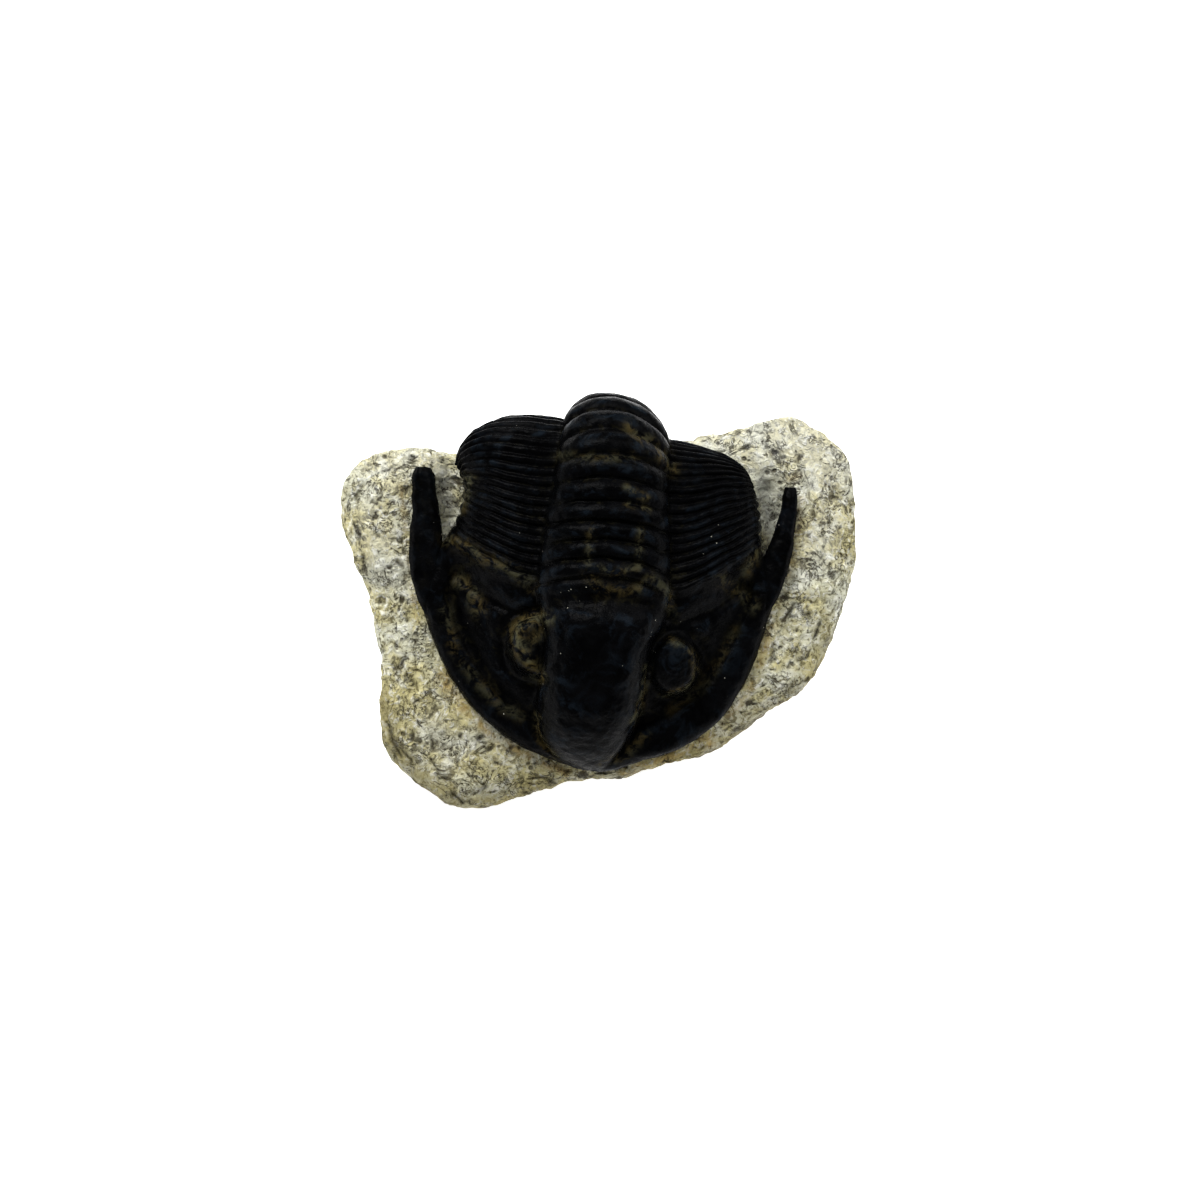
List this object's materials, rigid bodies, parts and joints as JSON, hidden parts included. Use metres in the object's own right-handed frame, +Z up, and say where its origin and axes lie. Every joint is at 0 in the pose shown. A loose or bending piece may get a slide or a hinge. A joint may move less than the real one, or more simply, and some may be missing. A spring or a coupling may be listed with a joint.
{
  "type": "trilobite fossil",
  "caption": "Cornuproetus trilobite fossil arched on a cream limestone wedge, black shell, cheek spines free of the ribs.",
  "frame": {"origin": "middle of the flat spot the stone rests on, at ground height", "axes": "+X to the right across the head, +Y from the head to the tail, +Z up, away from the ground"},
  "size_m": [0.0302, 0.022, 0.0159],
  "materials": {
    "fossil_black": "semi-gloss natural",
    "limestone_cream": "rough natural"
  },
  "bodies": {
    "root": {"trilobite": "fossil_black", "stone": "limestone_cream"}
  },
  "joints": []
}
